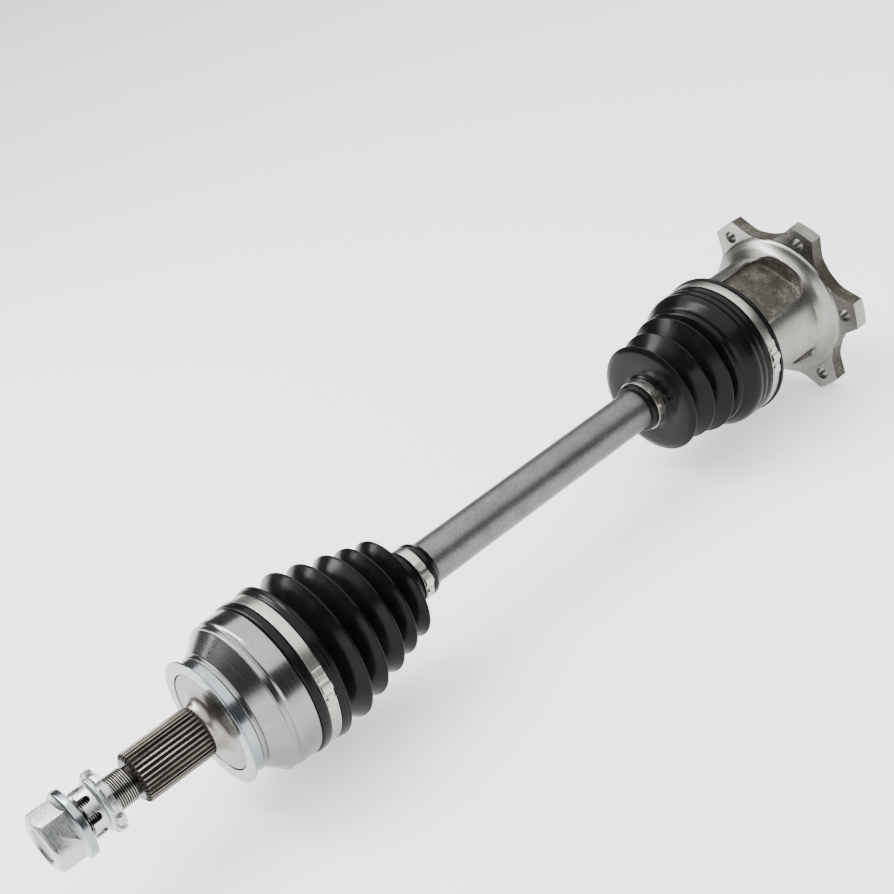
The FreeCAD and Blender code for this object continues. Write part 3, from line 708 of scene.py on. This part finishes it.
tulipSizes = {"mouth": -96, "barrel": 49.5, "flange": 77.5, "thick": 11.5, "pilot": 42, "floor": 37.5,
              "pocketHalf": 25.5, "pocketEnd": -20.5, "corner": 13, "hole": 5.25, "circle": 66.7,
              "cavity": 30, "track": 17.4, "trackAt": 28.5}
scallopLine = ((-34, 84), (-28.6, 71.4, 0), (-13.5, 60.9, 5.0), (0, 59.2, 4.0), (13.5, 60.9, 5.0),
               (28.6, 71.4, 0), (34, 84))


def roundTool(radius, start, end, y, z, steps=64):
    bm = bmesh.new()
    bmesh.ops.create_cone(bm, cap_ends=True, segments=steps, radius1=radius * mm, radius2=radius * mm,
                          depth=(end - start) * mm)
    spinAll(bm, math.radians(90), "Y")
    bmesh.ops.translate(bm, verts=bm.verts, vec=((start + end) / 2 * mm, y * mm, z * mm))
    return bm


# Skin a closed tube through rings that have the same number of points.
def loft(rings):
    bm = bmesh.new()
    made = [[bm.verts.new(spot) for spot in ring] for ring in rings]
    for low, high in zip(made, made[1:]):
        for index in range(len(low)):
            after = (index + 1) % len(low)
            bm.faces.new((low[index], low[after], high[after], high[index]))
    bm.faces.new(made[0])
    bm.faces.new(made[-1])
    return bm


# Pocket between two lobes: flat floor, filleted foot, upright walls and a bevel that follows the barrel.
def pocketTool():
    s = tulipSizes
    levels = [(-3.0, 0.0, None), (-1.6, 0.25, None), (-0.5, 1.1, None), (0.0, 2.0, None),
              (0.0, None, -1.5), (1.6, None, 0.5), (4.0, None, 8.0), (4.0, 35.0, None)]
    rings = []
    for offset, rise, lift in levels:
        half, corner = s["pocketHalf"] + offset, s["corner"] + max(offset, -2.0)
        endX = s["pocketEnd"] + offset * (1.0 if offset < 0 else 0.3)
        flat = [(s["mouth"] - 2, -half)]
        for side in (-1, 1):
            for step in range(9):
                angle = math.radians(step * 11.25 if side > 0 else 90 - step * 11.25)
                reach = half - corner + corner * math.sin(angle)
                flat.append((endX - corner + corner * math.cos(angle), side * reach))
        flat.append((s["mouth"] - 2, half))
        ring = []
        for x, y in flat:
            z = s["floor"] + rise if lift is None else math.sqrt((s["barrel"] + lift) ** 2 - y * y)
            ring.append((x * mm, y * mm, z * mm))
        rings.append(ring)
    return loft(rings)


def scallopTool():
    line = rounded(scallopLine, 0, False)
    return loft([[(x * mm, y * mm, z * mm) for y, z in line] for x in (-tulipSizes["thick"] - 3, 3)])


def makeTulip():
    s = tulipSizes
    bm = bmesh.new()
    fillet = [(-24.5, s["barrel"]), (-21.5, 50.2), (-18.4, 52.3), (-15.6, 55.4), (-14.2, 58.2),
              (-13.2, 59.6), (-12.0, 60.2), (-11.5, 61.4)]
    turn(bm, [(s["mouth"], 0), (s["mouth"], s["barrel"])] + fillet +
         [(-s["thick"], s["flange"]), (0, s["flange"]), (0, s["pilot"]), (-4, s["pilot"]), (-4, 0)],
         steps=192, closed=False)
    tulip = finishMesh("flangedTulip", bm, turnedFlange, None)
    for index in range(3):
        angle = full * index / 3 + clock
        pocket = pocketTool()
        spinAll(pocket, angle)
        carve(tulip, toolMesh("pocket", pocket))
        track = roundTool(s["track"], s["mouth"] - 2, -16, 0, -s["trackAt"], 48)
        spinAll(track, angle)
        carve(tulip, toolMesh("track", track))
    carve(tulip, toolMesh("cavity", roundTool(s["cavity"], s["mouth"] - 2, -16, 0, 0, 96)))
    for index in range(6):
        angle = full * index / 6
        hole = roundTool(s["hole"], -14, 2, 0, s["circle"], 40)
        spinAll(hole, angle + clock)
        carve(tulip, toolMesh("hole", hole))
        scallop = scallopTool()
        spinAll(scallop, angle)
        carve(tulip, toolMesh("scallop", scallop))
    edgeBreak(tulip, 0.55, 2, 30)
    tulip.data.materials.append(forgedSteel)
    for face in tulip.data.polygons:
        if isForged(face):
            face.material_index = 1
    assign(tulip, "tulip", ("flanged_tulip",))


# Pocket floors and walls and the scallops' walls are left as forged; the rest is machined.
def isForged(face):
    s = tulipSizes
    centre = face.center / mm
    radius = math.hypot(centre.y, centre.z)
    onWall = abs(face.normal.x) < 0.3 and 58 < radius < s["flange"] - 0.7 and centre.x > -s["thick"] - 0.2
    if onWall:
        round6 = math.atan2(centre.y, centre.z) + clock
        offLobe = (round6 + full / 12) % (full / 6) - full / 12
        holeGap = math.hypot(radius * math.cos(offLobe) - s["circle"], radius * math.sin(offLobe))
        return holeGap > s["hole"] + 1.2
    for index in range(3):
        spot = Matrix.Rotation(-full * index / 3 - clock, 3, "X") @ centre
        if abs(spot.y) < s["pocketHalf"] + 0.3 and s["floor"] - 0.3 < spot.z and radius < s["barrel"] - 2.0:
            return centre.x < s["pocketEnd"] + 1.5 and radius > s["floor"] - 0.5
    return False


makeTulip()
print("tulip made")


nodeFinish = {
    groundSteel: ("inner_race", "tripod_spider", "tripod_roller_1", "tripod_roller_2", "tripod_roller_3",
                  "trunnion_needles", "drive_ball_1", "drive_ball_2", "drive_ball_3", "drive_ball_4",
                  "drive_ball_5", "drive_ball_6"),
    bluedSteel: ("ball_cage", "race_circlip", "spider_circlip", "roller_keepers"),
    bushingPlastic: ("trilobe_bushing",),
}
for finish, names in nodeFinish.items():
    for name in names:
        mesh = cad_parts[name].data
        mesh.materials.clear()
        mesh.materials.append(finish)


def makeFloor(height):
    bm = bmesh.new()
    bmesh.ops.create_grid(bm, x_segments=1, y_segments=1, size=20)
    bmesh.ops.translate(bm, verts=bm.verts, vec=(0, 0, height))
    mesh = bpy.data.meshes.new("floor")
    bm.to_mesh(mesh)
    bm.free()
    floor = bpy.data.objects.new("floor", mesh)
    bpy.context.scene.collection.objects.link(floor)
    made, shader, spot = newMaterial("paleFloor")
    wire(made, shader, {"Base Color": (0.9, 0.9, 0.9, 1), "Roughness": 0.6,
                        "Emission Color": (1, 1, 1, 1), "Emission Strength": 0.9})
    mesh.materials.append(made)


def areaLight(name, place, target, size, power):
    lamp = bpy.data.lights.new(name, "AREA")
    lamp.shape = "RECTANGLE"
    lamp.size, lamp.size_y = size
    lamp.energy = power
    holder = bpy.data.objects.new(name, lamp)
    holder.location = place
    holder.rotation_euler = (Vector(target) - Vector(place)).to_track_quat("-Z", "Y").to_euler()
    bpy.context.scene.collection.objects.link(holder)


makeFloor(cadBox[0].z - 0.0005)
cameraSizes = {"place": (-0.87427, -0.78304, 0.54151), "turn": (61.971, 16.146, -41.702), "lens": 61.73}
lens = bpy.data.cameras.new("camera")
lens.lens = cameraSizes["lens"]
lens.sensor_width = 36
camera = bpy.data.objects.new("camera", lens)
camera.location = cameraSizes["place"]
camera.rotation_euler = [math.radians(value) for value in cameraSizes["turn"]]
bpy.context.scene.collection.objects.link(camera)
bpy.context.scene.camera = camera

# Lights: one large overhead softbox, and strips given by right, up and toward the camera.
middle = Vector((-0.36, 0, 0))
lightSizes = {"overhead": (3.2, 7.0, 420), "world": 0.10}
high, wide, power = lightSizes["overhead"]
areaLight("overheadLight", middle + Vector((0, 0, high)), middle, (wide, wide), power)
view = camera.rotation_euler.to_matrix()
for name, offset, size, power in (("leftStrip", (-1.1, 0.9, 0.2), (0.35, 1.6), 30),
                                  ("frontFill", (-0.3, -0.7, 1.6), (1.0, 0.5), 6)):
    areaLight(name, middle + view @ Vector(offset), middle, size, power)
world = bpy.data.worlds.new("studio")
bpy.context.scene.world = world
world.use_nodes = True
world.node_tree.nodes["Background"].inputs[0].default_value = (1, 1, 1, 1)
world.node_tree.nodes["Background"].inputs[1].default_value = lightSizes["world"]
print("stage made")
